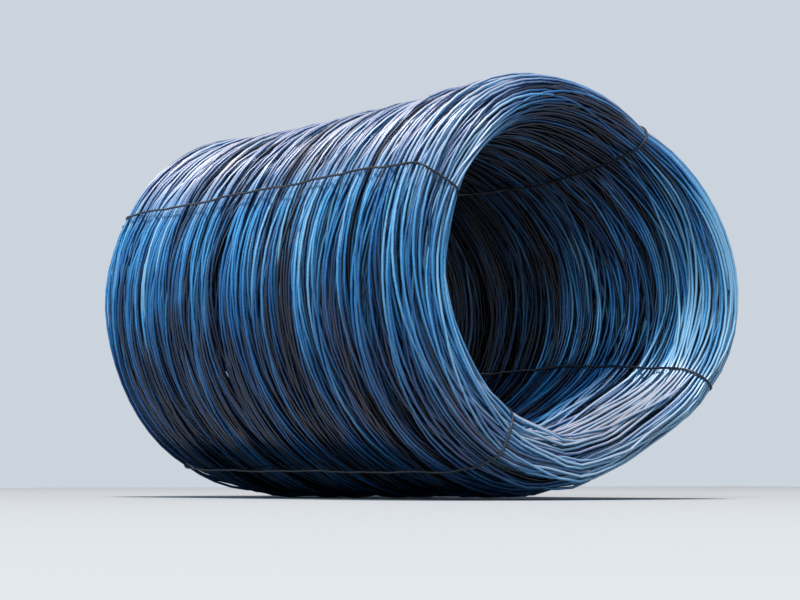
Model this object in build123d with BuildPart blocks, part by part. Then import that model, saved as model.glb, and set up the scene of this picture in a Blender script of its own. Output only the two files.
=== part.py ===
"""Coil of hot-rolled steel wire rod, lying on its side and bound by four tie wires.

Millimetres, +Z up. The bore runs along Y, the coil rests on Z = 0 and the origin is under its middle.
The winding is one turned body, and its turns show as ridges on both ends. Each tie wire is a closed
loop round the wall of the coil: along the outside, over one end, through the bore and over the other.
"""

from build123d import *

import math
import os

# Winding
outer_radius = 625.0
bore_radius = 430.0
coil_length = 1900.0
waist_depth = 12.0
flare_length = 450.0
outer_corner = 90.0
inner_corner = 80.0

# Turns that show on the ends
turn_pitch = 32.0
turn_relief = 11.0

# Tie wires, each in a seat that it has pulled into the turns
tie_diameter = 7.0
tie_sides = 6
tie_clearance = 0.3
tie_count = 4
first_tie_angle = 60.0

# A thin wall limits the rounding of its ends
corner_limit = 0.48 * (outer_radius - bore_radius)
outer_round = min(outer_corner, corner_limit)
inner_round = min(inner_corner, corner_limit)

half_length = coil_length / 2
tie_radius = tie_diameter / 2
seat_angle = 2 * math.degrees(math.asin((tie_radius + tie_clearance) / bore_radius))
coil_axis = Axis((0, 0, outer_radius), (0, 1, 0))


def section_plane(angle):
    """The plane through the coil's axis at an angle from +X: x along the coil, y out from its axis."""
    turn = math.radians(angle)
    return Plane(
        origin=(0, 0, outer_radius),
        x_dir=(0, 1, 0),
        z_dir=(math.sin(turn), 0, -math.cos(turn)),
    )


def wall_outline(inset):
    """The rounded outline of the wall's section, drawn in by inset."""
    end = half_length - inset
    low = bore_radius + inset
    high = outer_radius - inset
    inner = inner_round - inset
    outer = outer_round - inset
    FilletPolyline(
        (-end, high),
        (end, high),
        (end, low),
        (-end, low),
        radius=[outer, outer, inner, inner],
        close=True,
    )


def smooth_end(inset):
    """One end of that outline, from the bore round to the outside."""
    inner_centre = (half_length - inner_round, bore_radius + inner_round)
    outer_centre = (half_length - outer_round, outer_radius - outer_round)
    with BuildLine(mode=Mode.PRIVATE) as end:
        inner = CenterArc(inner_centre, inner_round - inset, -90, 90)
        outer = CenterArc(outer_centre, outer_round - inset, 0, 90)
        Line(inner @ 1, outer @ 0)
    return end.wire()


def ridged_end():
    """The points of the same end with a ridge for each turn, its crest on the smooth end."""
    crests, valleys = smooth_end(0), smooth_end(turn_relief)
    turns = round(crests.length / turn_pitch)
    points = [crests @ 0]
    for turn in range(turns):
        points.append(crests @ ((turn + 0.5) / turns))
        points.append(valleys @ ((turn + 1) / turns))
    points[-1] = crests @ 1
    return points


os.makedirs("parts", exist_ok=True)

tie_angles = [first_tie_angle + 360 * number / tie_count for number in range(tie_count)]

with BuildPart() as winding:
    with BuildSketch(section_plane(90)):
        with BuildLine():
            waist = (half_length - flare_length, outer_radius - waist_depth)
            half = Polyline(*ridged_end(), waist)
            mirrored = mirror(half, about=Plane.YZ)
            Line(half @ 0, mirrored @ 0)
            Line(half @ 1, mirrored @ 1)
        make_face()
    revolve(axis=coil_axis)
    for tie_angle in tie_angles:
        with BuildSketch(section_plane(tie_angle + seat_angle / 2)):
            with BuildLine():
                wall_outline(-tie_diameter)
            make_face()
            with BuildLine():
                wall_outline(tie_diameter + tie_clearance)
            make_face(mode=Mode.SUBTRACT)
        revolve(axis=coil_axis, revolution_arc=seat_angle, mode=Mode.SUBTRACT)

winding.part.label = "rod_winding"
export_step(winding.part, "parts/rod_winding.step")

for number, tie_angle in enumerate(tie_angles, start=1):
    with BuildPart() as tie:
        with BuildLine(section_plane(tie_angle)) as route:
            wall_outline(tie_radius)
        with BuildSketch(Plane(route.line @ 0, z_dir=route.line % 0)):
            RegularPolygon(tie_radius, tie_sides)
        sweep()
    tie.part.label = f"tie_wire_{number}"
    export_step(tie.part, f"parts/{tie.part.label}.step")
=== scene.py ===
"""Looks of the wire rod coil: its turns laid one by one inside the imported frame, and its tie wires.

Metres and radians. The bore runs along Y, and the mouth that the camera looks into is at -Y. A place
in the winding is its y, its radius from the coil's axis and its angle, which runs from +X over the top.
The rod's places are held as one long row: STATIONS of them a turn, at the same angles in each turn.
"""

import math

import bpy
import numpy as np
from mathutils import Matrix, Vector


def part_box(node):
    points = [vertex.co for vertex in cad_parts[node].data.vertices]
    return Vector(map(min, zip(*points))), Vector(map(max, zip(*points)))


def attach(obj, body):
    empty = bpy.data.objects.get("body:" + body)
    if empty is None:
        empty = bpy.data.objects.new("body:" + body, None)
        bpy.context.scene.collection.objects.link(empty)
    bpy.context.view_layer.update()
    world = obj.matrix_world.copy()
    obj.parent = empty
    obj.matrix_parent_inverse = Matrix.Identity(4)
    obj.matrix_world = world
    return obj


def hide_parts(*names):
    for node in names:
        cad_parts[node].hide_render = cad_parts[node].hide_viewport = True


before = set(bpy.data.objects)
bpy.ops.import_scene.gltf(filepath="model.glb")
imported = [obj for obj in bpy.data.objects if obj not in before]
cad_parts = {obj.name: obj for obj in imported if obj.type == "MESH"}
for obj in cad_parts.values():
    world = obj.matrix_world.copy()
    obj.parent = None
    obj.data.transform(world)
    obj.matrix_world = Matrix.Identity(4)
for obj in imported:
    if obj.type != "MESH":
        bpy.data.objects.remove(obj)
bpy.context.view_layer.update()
low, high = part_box("rod_winding")
rng = np.random.default_rng(11)

# The winding's wall
HALF_LENGTH = (high.y - low.y) / 2
OUTER = (high.z - low.z) / 2
AXIS_HEIGHT = (high.z + low.z) / 2
INNER = 0.430
OUTER_CORNER = 0.090
INNER_CORNER = 0.080

# How much the outside stands out or in along Y: fullest at the mouth, and slimmest behind its middle
FULLNESS_AT = [-0.95, -0.86, -0.70, -0.45, -0.10, 0.20, 0.55, 0.80, 0.95]
FULLNESS = [0.014, 0.022, 0.006, -0.009, -0.015, -0.019, -0.018, -0.008, -0.004]

# How far the ring stands out of round, at eighths of a turn from +X over the top
OVAL = np.array([14, -12, -4, 12, 2, 4, 0, 12]) / 1000

# The same for the mouth alone, at steps of 15 degrees: it is flattened at its upper and lower right
MOUTH_OVAL = np.array([
    -12, -24, -42, -60, -70, -58, -34, -12, 0, 0, 0, 0,
    0, 0, 0, 0, 0, 0, -8, -44, -78, -64, -36, -18,
]) / 1000

# How far the bore opens towards the mouth, at steps of 30 degrees. Its left side bulges inwards instead
FUNNEL = np.array([72, 75, 76, 70, 36, -16, -50, -44, -16, 0, 24, 60]) / 1000

# The rod. It is made in LENGTHS pieces, because one piece may have 200,000 triangles
ROD_RADIUS = 0.0042
TURNS = 1290
STATIONS = 60
SIDES = 6
LENGTHS = 5

# How the turns are laid. The side to which a ring lies off centre goes round once in TURNS_ROUND turns.
# Near the ends they go out and in across the wall instead, once in TURNS_IN_AND_OUT turns. The lip is
# rounded over LIP_LENGTH, and its edges recede by LIP_RECEDES
TURNS_ROUND = 45
TURNS_IN_AND_OUT = 35
LIP_LENGTH = 0.30
LIP_RECEDES = 0.088

# How the turns settle. Places closer than KEPT_APART push each other. A push spreads over a few
# stations, and each round takes a little out of every bend
KEPT_APART = 2.24 * ROD_RADIUS
NEIGHBOURS = 11
PUSH = 1.6
PUSH_SPREAD = 1.6
EVENING = 0.06
ROUNDS = 34
ROUNDS_AFTER_KINKS = 6
KINKS_A_TURN = 15

# The tie wires, how far they draw the turns in, and the angle over which they do it
TIE_RADIUS = 0.0035
TIE_SIDES = 8
TIE_STEP = 0.015
TIE_STEPS_A_ROW = 40
TIE_ANGLES = [math.radians(60 + 90 * number) for number in range(4)]
TIE_PINCH = 0.006
PINCH_WIDTH = 0.11

# How far a tie wire strays sideways and over what length. Less than SWAY_STARTS from its ends it is less
TIE_SWAYS = ((0.0030, 0.62), (0.0020, 0.27), (0.0010, 0.11))
SWAY_STARTS = 0.15

# The ends of a tie wire, led off the wall, twisted together and bent outwards in their first part
STUB_OFF_WALL = 0.004
STUB_LENGTH = 0.062
STUB_BEND = 0.35
STUB_STEPS = 46
STUB_TWISTS = 3.5
STRANDS_OFF_MIDDLE = 1.08 * TIE_RADIUS

# The colour of dust and of painted sunlit highlight on the rods that face up
DUST_AND_HIGHLIGHT = (0.66, 0.60, 0.66, 1)
# The colour of rust, and of the painted warm reflection at the lower left of the mouth
RUST_AND_WARM_REFLECTION = (0.150, 0.090, 0.085, 1)
LAMPS_AIM = Vector((0, 0, 0.6))


def harmonics(values, angle):
    """A smooth closed curve through values that stand at equal steps of angle."""
    parts = np.fft.rfft(values) / len(values)
    total = np.full_like(angle, parts[0].real)
    for order in range(1, len(values) // 2):
        total += 2 * (parts[order] * np.exp(1j * order * angle)).real
    return total


def away(angle, other):
    """The angle between two directions."""
    return np.abs((angle - other + np.pi) % (2 * np.pi) - np.pi)


def near(angle, degrees, width):
    """1 at the direction given in degrees, and towards 0 further than width from it."""
    return np.exp(-((away(angle, math.radians(degrees)) / width) ** 2))


def pinch(angle):
    """1 where a tie wire draws the turns in, and 0 well beside it."""
    return sum(np.exp(-((away(angle, tie) / PINCH_WIDTH) ** 2)) for tie in TIE_ANGLES)


def oval(angle):
    return harmonics(OVAL, angle)


def mouth(y):
    """1 near the mouth, and 0 from a little behind the middle on."""
    share = np.clip((0.2 - y) / 0.85, 0, 1)
    return share * share * (3 - 2 * share)


def outer_limit(y, angle):
    """The outside of the winding, which lies on the ground."""
    fullness = np.interp(y, FULLNESS_AT, FULLNESS) * (1 - near(angle, 270, 0.45))
    radius = OUTER + fullness + oval(angle) + mouth(y) * harmonics(MOUTH_OVAL, angle)
    radius = radius - TIE_PINCH * pinch(angle)
    ground = AXIS_HEIGHT / np.maximum(-np.sin(angle), 0.05)
    return np.minimum(radius, ground)


def inner_limit(y, angle):
    """The bore. Turns lie heaped at the bottom of the mouth."""
    heap = near(angle, 265, 0.55) * np.interp(y, [-0.95, -0.80, -0.45], [0.014, 0.012, 0.0])
    opening = np.interp(y, [-0.95, -0.80, -0.60, -0.40], [1.0, 0.65, 0.20, 0.0])
    funnel = opening * harmonics(FUNNEL, angle)
    out_of_round = 0.8 * oval(angle) + 0.6 * mouth(y) * harmonics(MOUTH_OVAL, angle)
    return INNER + out_of_round - heap + funnel + TIE_PINCH * pinch(angle)


def end_limit(angle):
    """How far each end reaches from the middle."""
    return HALF_LENGTH - 0.004 - 0.004 * np.cos(3 * angle + 1) - 0.010 * pinch(angle)


def drift(width):
    """A random number for the start of each turn and one for the rod's end. They change over about
    width turns, and their spread is 1."""
    reach = np.arange(-math.ceil(4 * width), math.ceil(4 * width) + 1)
    kernel = np.exp(-0.5 * (reach / width) ** 2)
    raw = rng.standard_normal(TURNS + len(reach))
    return np.convolve(raw, kernel, "valid") / np.sqrt((kernel**2).sum())


turned = np.arange(TURNS * STATIONS) / STATIONS  # turns from the rod's start
around = np.tile(2 * np.pi * (np.arange(STATIONS) / STATIONS), TURNS)


def along_rod(series):
    """A number for each place, between those at the start and the end of its turn."""
    return np.interp(turned, np.arange(TURNS + 1), series)


def wavy(orders, width, size):
    """A waviness of the turns that neighbours within width turns share."""
    total = np.zeros_like(turned)
    for order in orders:
        total += along_rod(drift(width)) * np.cos(order * 2 * np.pi * turned)
        total += along_rod(drift(width)) * np.sin(order * 2 * np.pi * turned)
    return total * size


def lay():
    """Where the turns fall: each is a ring of the same size that lies off centre, and which way it
    does goes round and round along the coil. Near the ends the turns fill the wall more evenly."""
    each = np.arange(TURNS + 1)
    which_way = 2 * np.pi * along_rod(each / TURNS_ROUND + 0.22 * drift(9) + 0.16 * drift(0.6))
    size = 1 - 0.10 * np.abs(along_rod(drift(0.7))) - 0.05 * np.abs(along_rod(drift(4)))
    along = np.linspace(-1, 1, len(turned)) * (HALF_LENGTH - 0.008)
    sway = np.interp(np.abs(along), [0.70, 0.88], [1.0, 0.45])
    home = np.sin(2 * np.pi * along_rod(each / TURNS_IN_AND_OUT + 0.12 * drift(3)))
    across = sway * size * np.cos(2 * np.pi * turned - which_way) + 0.8 * (1 - sway) * home
    across = across + wavy((1, 2, 3, 4), 0.6, 0.03) + wavy((2, 3), 8, 0.02)

    # At the ends, turns near the wall's two faces recede, which rounds the lip
    fold = np.clip((np.abs(along) - (HALF_LENGTH - LIP_LENGTH)) / LIP_LENGTH, 0, 1) ** 2
    edge = np.clip((np.abs(across) - 0.10) / 0.90, 0, 1)
    recede = LIP_RECEDES * (1 - np.sqrt(1 - edge**2))
    y = along - np.sign(along) * fold * recede
    y += (
        wavy((1,), 11, 0.010)
        + wavy((1,), 0.7, 0.004)
        + wavy((2, 3), 7, 0.0035)
        + wavy((2, 3, 4, 5), 0.7, 0.0020)
    )
    outer = outer_limit(y, around) - ROD_RADIUS
    inner = inner_limit(y, around) + ROD_RADIUS
    r = (outer + inner) / 2 + across * (outer - inner) / 2
    return y, r


def kinked(y, r):
    """The places with the kinks of the turns at the bottom of the mouth, which neighbours share."""
    size = near(around, 268, 0.36) * np.interp(y, [-0.9, -0.6], [0.0075, 0.0])
    phase = KINKS_A_TURN * around + 2.5 * along_rod(drift(5))
    return y + 1.1 * size * np.sin(phase), r + size * np.sin(phase + 1)


def smoothed(values, width):
    """Values along the rod, evened out over about width stations."""
    reach = np.arange(-math.ceil(3 * width), math.ceil(3 * width) + 1)
    kernel = np.exp(-0.5 * (reach / width) ** 2)
    half = len(reach) // 2
    padded = np.concatenate([np.full(half, values[0]), values, np.full(half, values[-1])])
    return np.convolve(padded, kernel / kernel.sum(), "valid")


def apart(y, r):
    """How far each place has to move so that no two turns lie in each other."""
    y, r = y.reshape(TURNS, STATIONS), r.reshape(TURNS, STATIONS)
    order = np.argsort(y, axis=0)
    ys, rs = np.take_along_axis(y, order, 0), np.take_along_axis(r, order, 0)
    push_y, push_r = np.zeros_like(ys), np.zeros_like(rs)
    for step in range(1, NEIGHBOURS + 1):
        dy, dr = ys[step:] - ys[:-step], rs[step:] - rs[:-step]
        gap = np.sqrt(dy**2 + dr**2) + 1e-9
        half = np.clip(KEPT_APART - gap, 0, None) / gap / 2
        push_y[step:] += half * dy
        push_y[:-step] -= half * dy
        push_r[step:] += half * dr
        push_r[:-step] -= half * dr
    back_y, back_r = np.empty_like(y), np.empty_like(r)
    np.put_along_axis(back_y, order, push_y, 0)
    np.put_along_axis(back_r, order, push_r, 0)
    return back_y.ravel(), back_r.ravel()


def held(y, r):
    """The places brought back inside the wall, whose four corners are round."""
    outer = outer_limit(y, around) - ROD_RADIUS
    inner = inner_limit(y, around) + ROD_RADIUS
    end = end_limit(around) - ROD_RADIUS
    r = np.clip(r, inner, outer)
    reach = np.minimum(np.abs(y), end)
    for corner, face, outwards in ((OUTER_CORNER, outer, 1), (INNER_CORNER, inner, -1)):
        round_to = corner - ROD_RADIUS
        centre = face - outwards * round_to
        dr = (r - centre) * outwards
        dy = reach - (end - round_to)
        far = np.sqrt(dr**2 + dy**2)
        out = (dr > 0) & (dy > 0) & (far > round_to)
        scale = np.where(out, round_to / np.maximum(far, 1e-9), 1)
        r = np.where(out, centre + outwards * dr * scale, r)
        reach = np.where(out, end - round_to + dy * scale, reach)
    return np.sign(y) * reach, r


def settled(y, r, rounds):
    """The turns after they have pushed each other aside and come to rest within the wall."""
    for _ in range(rounds):
        push_y, push_r = apart(y, r)
        y = y + PUSH * smoothed(push_y, PUSH_SPREAD)
        r = r + PUSH * smoothed(push_r, PUSH_SPREAD)
        y = y + EVENING * (smoothed(y, 1.0) - y)
        r = r + EVENING * (smoothed(r, 1.0) - r)
        y, r = held(y, r)
    return y, r


def across_wall(y, r):
    """0 at the bore and 1 at the outside."""
    inner, outer = inner_limit(y, around), outer_limit(y, around)
    return np.clip((r - inner) / (outer - inner), 0, 1)


def buried(y, r):
    """How far each place is covered by other turns, seen from the outside, from the bore or from its
    end, whichever sees most of it: 0 open, 1 hidden."""
    y, r = y.reshape(TURNS, STATIONS), r.reshape(TURNS, STATIONS)
    hidden = np.empty_like(y)
    in_line, past = 1.8 * ROD_RADIUS, 0.8 * ROD_RADIUS
    for station in range(STATIONS):
        along = (y[:, station] - y[:, station][:, None]) * np.sign(y[:, station])[:, None]
        out = r[:, station] - r[:, station][:, None]
        beside, level = np.abs(along) < in_line, np.abs(out) < in_line
        covers = [
            (beside & (out > past)).sum(1),
            (beside & (out < -past)).sum(1),
            (level & (along > past)).sum(1),
        ]
        hidden[:, station] = 1 - np.exp(-0.6 * np.minimum.reduce(covers))
    return hidden.ravel()


def tones_with_painted_light(y, outside, shoulder):
    """How light the rod's colour is at each place. Each turn has its own tone, and painted light and shade
    lie on it by place on the coil.
    """
    upper = np.clip(np.sin(around), 0, 1)
    lower = np.clip(-np.sin(around), 0, 1)
    lower_right = np.clip(np.cos(around + 0.6), 0, 1)
    within = np.clip(1.6 - 2 * outside, 0, 1)
    tone_and_painted_light = 0.5 + 0.36 * along_rod(drift(0.35)) + 0.08 * along_rod(drift(6))

    # Painted light: the ends are lighter, most of all at the lower right, and so is the upper left of the
    # outside
    tone_and_painted_light += np.interp(np.abs(y), [0.60, 0.90], [0.0, 1.0]) * (0.25 - 0.26 * upper**4 + 0.70 * lower_right)
    tone_and_painted_light += 0.14 * np.clip(np.cos(around - 2.2), 0, 1) * outside - 0.03

    # Painted shade: the lower left of the outside is darker
    lower_left = np.clip(-0.20 - np.sin(around + 0.5), 0, 1)
    tone_and_painted_light -= np.interp(y, [-0.90, -0.50], [0.30, 0.60]) * lower_left * outside

    # Painted shade: the bore is darker above, below behind the mouth, and towards the far end; painted light:
    # the shoulder is lighter
    tone_and_painted_light -= 0.65 * upper**2 * within * (1 - shoulder)
    tone_and_painted_light += 0.25 * shoulder
    tone_and_painted_light -= 0.25 * lower * within * np.interp(y, [-0.70, -0.45], [0.0, 1.0])
    tone_and_painted_light -= 0.22 * within * np.interp(y, [-0.45, 0.20], [0.0, 1.0])
    return tone_and_painted_light


def dust_and_painted_highlight_at(y, outside, shoulder):
    """How much dust and painted sunlit highlight lies at each place: on the upper outside, low in the bore
    near its ends, low on the ends themselves and on the mouth's shoulder, with hardly any at the top of the
    mouth."""
    height = np.sin(around)
    ends = np.abs(y)
    faces_up = height * np.clip(4 * (outside - 0.5), -1, 1)
    dust_and_highlight = np.clip((faces_up - 0.42) / 0.25, 0, 1)
    dust_and_highlight *= np.where(height > 0, 1, np.interp(ends, [0.55, 0.75], [0.0, 1.0]))
    dust_and_highlight += 0.7 * np.clip(-height, 0, 1) * np.interp(ends, [0.80, 0.90], [0.0, 1.0])
    dust_and_highlight = np.clip(dust_and_highlight + shoulder * np.clip(4 * outside, 0, 1), 0, 1)
    return dust_and_highlight * (1 - 0.9 * near(around, 80, 0.50) * np.interp(y, [-0.94, -0.84], [1.0, 0.0]))


def mesh_object(name, places, faces, flat, material):
    """A piece of four-cornered faces. The last ones, as many as flat says, are flat and the others smooth."""
    mesh = bpy.data.meshes.new(name)
    mesh.vertices.add(len(places))
    mesh.vertices.foreach_set("co", places.astype(np.float32).ravel())
    mesh.loops.add(faces.size)
    mesh.loops.foreach_set("vertex_index", faces.astype(np.int32).ravel())
    mesh.polygons.add(len(faces))
    mesh.polygons.foreach_set("loop_start", np.arange(0, faces.size, 4, dtype=np.int32))
    mesh.update(calc_edges=True)
    mesh.polygons.foreach_set("use_smooth", np.arange(len(faces)) < len(faces) - flat)
    mesh.materials.append(material)
    made = bpy.data.objects.new(name, mesh)
    bpy.context.scene.collection.objects.link(made)
    return made


def tube_rings(path, out, radius, sides):
    """Rings of points round a path. out is a direction away from the path at each of its points."""
    ahead = np.gradient(path, axis=0)
    ahead /= np.linalg.norm(ahead, axis=1, keepdims=True)
    out = out - ahead * (out * ahead).sum(1, keepdims=True)
    out /= np.linalg.norm(out, axis=1, keepdims=True)
    beside = np.cross(ahead, out)
    turn = 2 * np.pi * np.arange(sides) / sides
    ring = np.cos(turn)[None, :, None] * out[:, None, :] + np.sin(turn)[None, :, None] * beside[:, None, :]
    return path[:, None, :] + radius * ring


def tube(name, rings, per_row, material):
    """A closed tube over rings of points, and a map for its patterns with per_row rings in each row."""
    count, sides = rings.shape[:2]
    ring, side = np.meshgrid(np.arange(count - 1), np.arange(sides), indexing="ij")
    corners = [(0, 0), (0, 1), (1, 1), (1, 0)]
    walls = np.stack([(ring + on) * sides + (side + over) % sides for on, over in corners], -1).reshape(-1, 4)
    fan = np.array([[0, step, step + 1, step + 2] for step in range(1, sides - 2, 2)])
    faces = np.concatenate([walls, fan[:, ::-1], fan + (count - 1) * sides])
    made = mesh_object(name, rings.reshape(-1, 3), faces, 2 * len(fan), material)
    rows = math.ceil((count - 1) / per_row)
    across = np.stack([(ring % per_row + on) / per_row for on, over in corners], -1)
    up = np.stack([(ring // per_row + (side + over) / sides) / rows for on, over in corners], -1)
    spots = np.stack([across, up], -1).reshape(-1, 2)
    spots = np.concatenate([spots, np.tile(spots[-1:], (8 * len(fan), 1))])  # both ends take the last spot
    made.data.uv_layers.new(name="OFBake").uv.foreach_set("vector", spots.astype(np.float32).ravel())
    return made


def give(piece, name, values, sides):
    """Stores a number for each ring, which the material reads by its name."""
    kept = piece.data.attributes.new(name, "FLOAT", "POINT")
    kept.data.foreach_set("value", np.repeat(values, sides).astype(np.float32))


def in_frame(y, r, angle, beside=0.0):
    """Places in the frame. beside is how far they stand off the plane of their angle."""
    x = r * np.cos(angle) - beside * np.sin(angle)
    z = AXIS_HEIGHT + r * np.sin(angle) + beside * np.cos(angle)
    return np.stack([x, y + 0 * x, z], -1)


def tie_path(angle, y, r):
    """A tie wire drawn tight round the turns that lie at its angle, as places of y and radius and how
    far each stands beside the wire's plane. Its two ends are twisted together at the far end."""
    station = round(angle / (2 * np.pi) * STATIONS)
    rods = np.stack([y.reshape(TURNS, STATIONS)[:, station], r.reshape(TURNS, STATIONS)[:, station]], -1)
    facing = np.radians(np.arange(0, 360, 0.5))
    ways = np.stack([np.cos(facing), np.sin(facing)], -1)
    tight = rods[(rods @ ways.T).argmax(0)] + ways * (ROD_RADIUS + TIE_RADIUS)
    tight = np.concatenate([tight, tight[:1]])
    run = np.concatenate([[0], np.cumsum(np.linalg.norm(np.diff(tight, axis=0), axis=1))])
    spots = np.linspace(0, run[-1], round(run[-1] / TIE_STEP) + 1)
    loop = np.stack([np.interp(spots, run, tight[:, 0]), np.interp(spots, run, tight[:, 1])], -1)
    loop[1:-1] = 0.25 * loop[:-2] + 0.5 * loop[1:-1] + 0.25 * loop[2:]
    clear_of_ends = np.clip(np.minimum(spots, run[-1] - spots) / SWAY_STARTS, 0, 1)
    sway = clear_of_ends * sum(
        size * np.sin(2 * np.pi * spots / length + rng.uniform(0, 2 * np.pi))
        for size, length in TIE_SWAYS
    )
    return twisted(loop[1:-1], sway[1:-1])


def twisted(loop, beside):
    """The loop with its ends led off the wall, wound round each other and bent outwards."""
    steps = np.linspace(0, 1, STUB_STEPS)
    bend = np.clip(steps / STUB_BEND, 0, 1) * np.pi / 2
    ahead = np.stack([np.cos(bend), np.sin(bend)], -1)
    start = (loop[0] + loop[-1]) / 2 + np.array([STUB_OFF_WALL, 0])
    spine = start + np.cumsum(ahead, 0) * STUB_LENGTH / STUB_STEPS
    across = np.stack([-np.sin(bend), np.cos(bend)], -1)
    turn = 2 * np.pi * STUB_TWISTS * steps
    first, last = [
        (spine + across * (off * np.cos(turn))[:, None], off * np.sin(turn))
        for off in (STRANDS_OFF_MIDDLE, -STRANDS_OFF_MIDDLE)
    ]
    places = np.concatenate([first[0][::-1], loop, last[0]])
    return places, np.concatenate([first[1][::-1], beside, last[1]])


def add_node(tree, kind, inputs=(), **settings):
    """A node whose inputs are each given a number or colour, or linked to another node's output."""
    node = tree.nodes.new(kind)
    for name, value in settings.items():
        setattr(node, name, value)
    for name, value in dict(inputs).items():
        if isinstance(value, bpy.types.NodeSocket):
            tree.links.new(value, node.inputs[name])
        else:
            node.inputs[name].default_value = value
    return node


def maths(tree, operation, *values):
    return add_node(tree, "ShaderNodeMath", enumerate(values), operation=operation).outputs[0]


def noise(tree, places, scale, detail):
    inputs = {"Vector": places, "Scale": scale, "Detail": detail}
    return add_node(tree, "ShaderNodeTexNoise", inputs).outputs["Fac"]


def given(tree, name):
    """The number that give() stored under a name."""
    return add_node(tree, "ShaderNodeAttribute", attribute_name=name).outputs["Fac"]


def mapped(tree, value, start, end, to_start=0.0, to_end=1.0):
    """A number moved from one range to another, and held within it."""
    inputs = {"Value": value, "From Min": start, "From Max": end, "To Min": to_start, "To Max": to_end}
    return add_node(tree, "ShaderNodeMapRange", inputs).outputs["Result"]


def mixed_colour(tree, factor, first, second, mode="MIX"):
    inputs = {"Factor": factor, "A": first, "B": second}
    node = add_node(tree, "ShaderNodeMix", inputs, data_type="RGBA", blend_type=mode)
    return node.outputs["Result"]


def ramp(tree, value, stops):
    """A colour for each number, from stops of a place and a colour."""
    node = tree.nodes.new("ShaderNodeValToRGB")
    while len(node.color_ramp.elements) < len(stops):
        node.color_ramp.elements.new(0.5)
    for element, (place, colour) in zip(node.color_ramp.elements, stops):
        element.position = place
        element.color = (*colour, 1)
    tree.links.new(value, node.inputs[0])
    return node.outputs[0]


def steel(name, colours, roughness, metallic, coat):
    """Hot-rolled steel under its scale. Each turn has its own tone, with patches and grain, and painted light
    and shade by place.
    Between the turns it is darkened with painted shade, where it faces up lie streaks of dust and painted
    sunlit highlight, and there is a breath of rust with a painted warm reflection."""
    material = bpy.data.materials.new(name)
    material.use_nodes = True
    tree = material.node_tree
    shader = tree.nodes["Principled BSDF"]
    places = add_node(tree, "ShaderNodeTexCoord").outputs["Object"]
    patches = noise(tree, places, scale=9.0, detail=4.0)
    grain = noise(tree, places, scale=160.0, detail=5.0)
    mixed = maths(tree, "MULTIPLY", patches, 0.35)
    mixed = maths(tree, "MULTIPLY_ADD", given(tree, "rod_tone_and_painted_light"), 0.6, mixed)
    mixed = maths(tree, "MULTIPLY_ADD", grain, 0.3, mixed)
    colour = ramp(tree, mixed, colours)
    # Painted shade: places covered by other turns are darkened, on top of the shade the render casts between
    # them
    light = ramp(tree, given(tree, "rod_depth"), [(0.0, (1, 1, 1)), (1.0, (0.16, 0.16, 0.16))])
    colour = mixed_colour(tree, 1.0, colour, light, "MULTIPLY")

    normal = add_node(tree, "ShaderNodeNewGeometry").outputs["Normal"]
    upward = add_node(tree, "ShaderNodeSeparateXYZ", {"Vector": normal}).outputs["Z"]
    # Dust and painted sunlit highlight: a pale colour where the rod faces up, in streaks by turn, less where
    # covered
    dust_and_highlight_amount = maths(tree, "MULTIPLY", mapped(tree, upward, -0.10, 0.60), mapped(tree, mixed, 0.40, 0.70))
    dust_and_highlight_amount = maths(tree, "MULTIPLY", dust_and_highlight_amount, light)
    dust_and_highlight_amount = maths(tree, "MULTIPLY", dust_and_highlight_amount, given(tree, "rod_dust_and_highlight"))
    colour = mixed_colour(tree, dust_and_highlight_amount, colour, DUST_AND_HIGHLIGHT)

    # Rust blooms all over, and a painted warm reflection at the lower left of the mouth
    blooms = noise(tree, places, scale=3.1, detail=6.0)
    rust_and_warm_reflection = ramp(tree, blooms, [(0.56, (0, 0, 0)), (0.76, (0.25, 0.25, 0.25))])
    rust_and_warm_reflection = maths(tree, "MULTIPLY_ADD", given(tree, "rod_warm_reflection"), 0.55, rust_and_warm_reflection)
    tree.links.new(mixed_colour(tree, rust_and_warm_reflection, colour, RUST_AND_WARM_REFLECTION), shader.inputs["Base Color"])

    rough = mapped(tree, grain, 0.3, 0.7, roughness - 0.08, roughness + 0.1)
    tree.links.new(rough, shader.inputs["Roughness"])
    shader.inputs["Metallic"].default_value = metallic
    shader.inputs["Specular IOR Level"].default_value = 0.4
    shader.inputs["Coat Weight"].default_value = coat
    shader.inputs["Coat Roughness"].default_value = 0.27
    shader.inputs["Coat IOR"].default_value = 1.6
    bump = add_node(tree, "ShaderNodeBump", {"Height": grain, "Distance": 0.0006, "Strength": 0.35})
    tree.links.new(bump.outputs["Normal"], shader.inputs["Normal"])
    return material


def seen_directly(tree):
    """1 for what the camera, a reflection or glass shows, and 0 for the light that falls on the coil."""
    path = add_node(tree, "ShaderNodeLightPath").outputs
    either = maths(tree, "MAXIMUM", path["Is Camera Ray"], path["Is Glossy Ray"])
    return maths(tree, "MAXIMUM", either, path["Is Transmission Ray"])


def lamp(name, place, size, energy, colour):
    """A square lamp that shines on the coil's middle."""
    made = bpy.data.objects.new(name, bpy.data.lights.new(name, "AREA"))
    bpy.context.scene.collection.objects.link(made)
    made.location = place
    made.data.size = size
    made.data.energy = energy
    made.data.color = colour
    made.rotation_euler = (LAMPS_AIM - made.location).to_track_quat("-Z", "Y").to_euler()


rod_steel = steel(
    "rod_steel",
    [
        (0.34, (0.003, 0.011, 0.036)),
        (0.60, (0.008, 0.150, 0.420)),
        (0.86, (0.080, 0.430, 0.800)),
        (1.0, (0.30, 0.62, 0.88)),
    ],
    roughness=0.34,
    metallic=0.15,
    coat=0.45,
)
tie_steel = steel(
    "tie_steel",
    [(0.30, (0.006, 0.008, 0.015)), (0.80, (0.040, 0.045, 0.060))],
    roughness=0.50,
    metallic=0.3,
    coat=0.2,
)

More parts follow.
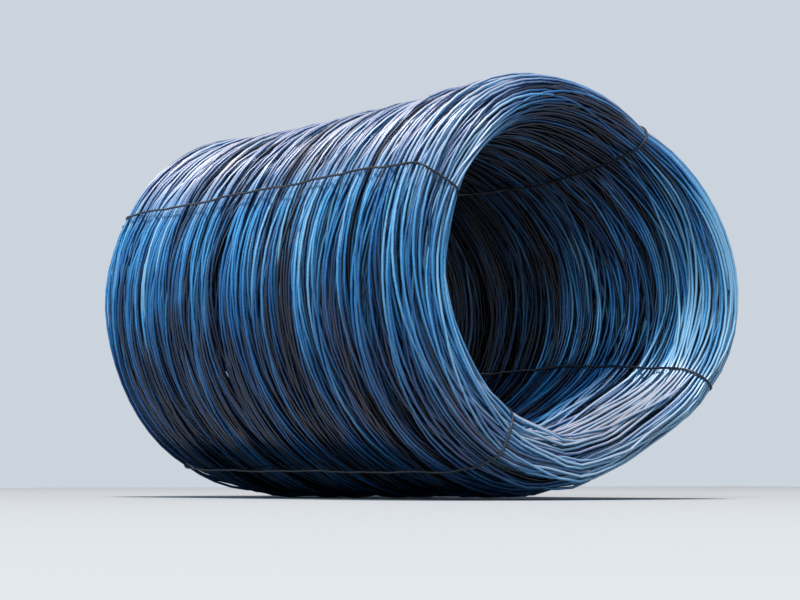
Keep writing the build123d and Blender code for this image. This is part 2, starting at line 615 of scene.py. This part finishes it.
# The rod
y, r = settled(*lay(), ROUNDS)
y, r = settled(*kinked(y, r), ROUNDS_AFTER_KINKS)
outward = in_frame(0 * around, 1 + 0 * around, around) - in_frame(0 * around, 0 * around, around)
rings = tube_rings(in_frame(y, r, around), outward, ROD_RADIUS, SIDES)
outside = across_wall(y, r)
shoulder = near(around, 135, 0.42) * np.interp(y, [-0.92, -0.80], [1.0, 0.0])  # the mouth's upper left
numbers = {
    # each turn's tone, with painted light and shade by place
    "rod_tone_and_painted_light": tones_with_painted_light(y, outside, shoulder),
    # how far each place is covered, used for painted shade between the turns
    "rod_depth": smoothed(buried(y, r), 1.5),
    # painted warm reflection at the lower left of the mouth
    "rod_warm_reflection": near(around, 228, 0.36) * np.interp(y, [-0.90, -0.60], [1.0, 0.0]) * outside,
    # dust and painted sunlit highlight
    "rod_dust_and_highlight": dust_and_painted_highlight_at(y, outside, shoulder),
}
length = TURNS // LENGTHS * STATIONS
for number in range(LENGTHS):
    first = number * length
    last = min(first + length + 1, len(rings))
    piece = tube(f"rod_turns_{number + 1}", rings[first:last], STATIONS, rod_steel)
    for name, values in numbers.items():
        give(piece, name, values[first:last], SIDES)
    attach(piece, "root")
    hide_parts("rod_winding")

# The tie wires
for number, angle in enumerate(TIE_ANGLES, start=1):
    places, beside = tie_path(angle, y, r)
    path = in_frame(places[:, 0], places[:, 1], angle, beside)
    off_plane = in_frame(0.0, 0.0, angle, np.ones(len(path))) - in_frame(0.0, 0.0, angle, np.zeros(len(path)))
    tie_rings = tube_rings(path, off_plane, TIE_RADIUS, TIE_SIDES)
    piece = tube(f"tie_{number}", tie_rings, TIE_STEPS_A_ROW, tie_steel)
    give(piece, "rod_tone_and_painted_light", np.full(len(path), 0.5), TIE_SIDES)
    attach(piece, "root")
    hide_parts(f"tie_wire_{number}")

# The camera, where the photographer stood
camera = bpy.data.objects.new("camera", bpy.data.cameras.new("camera"))
bpy.context.scene.collection.objects.link(camera)
bpy.context.scene.camera = camera
camera.location = (-4.40, -6.72, 0.06)
camera.data.sensor_width = 36
camera.data.lens = 114
camera.rotation_euler = (math.radians(90 + 4.05), 0, -math.radians(33.2))

# The floor and the world. Each has one colour that is seen and a darker one that lights the coil
bpy.ops.mesh.primitive_plane_add(size=20, location=(0, 0, 0))
floor = bpy.context.object
floor.name = "floor"
pale = bpy.data.materials.new("floor")
pale.use_nodes = True
tree = pale.node_tree
shade = mixed_colour(tree, seen_directly(tree), (0.10, 0.105, 0.12, 1), (0.66, 0.65, 0.64, 1))
tree.links.new(shade, tree.nodes["Principled BSDF"].inputs["Base Color"])
tree.nodes["Principled BSDF"].inputs["Roughness"].default_value = 0.9
floor.data.materials.append(pale)

world = bpy.data.worlds.new("studio")
bpy.context.scene.world = world
world.use_nodes = True
tree = world.node_tree
shade = mixed_colour(tree, seen_directly(tree), (0.05, 0.09, 0.15, 1), (0.60, 0.66, 0.72, 1))
tree.links.new(shade, tree.nodes["Background"].inputs["Color"])
tree.nodes["Background"].inputs["Strength"].default_value = 1.0

lamp("key", (-14.0, -21.5, 52.0), 8.0, 33000, (1.0, 0.96, 0.94))
lamp("fill", (-24.0, -24.0, 18.0), 9.0, 4200, (0.42, 0.78, 1.0))

bpy.context.scene.view_settings.view_transform = "Standard"
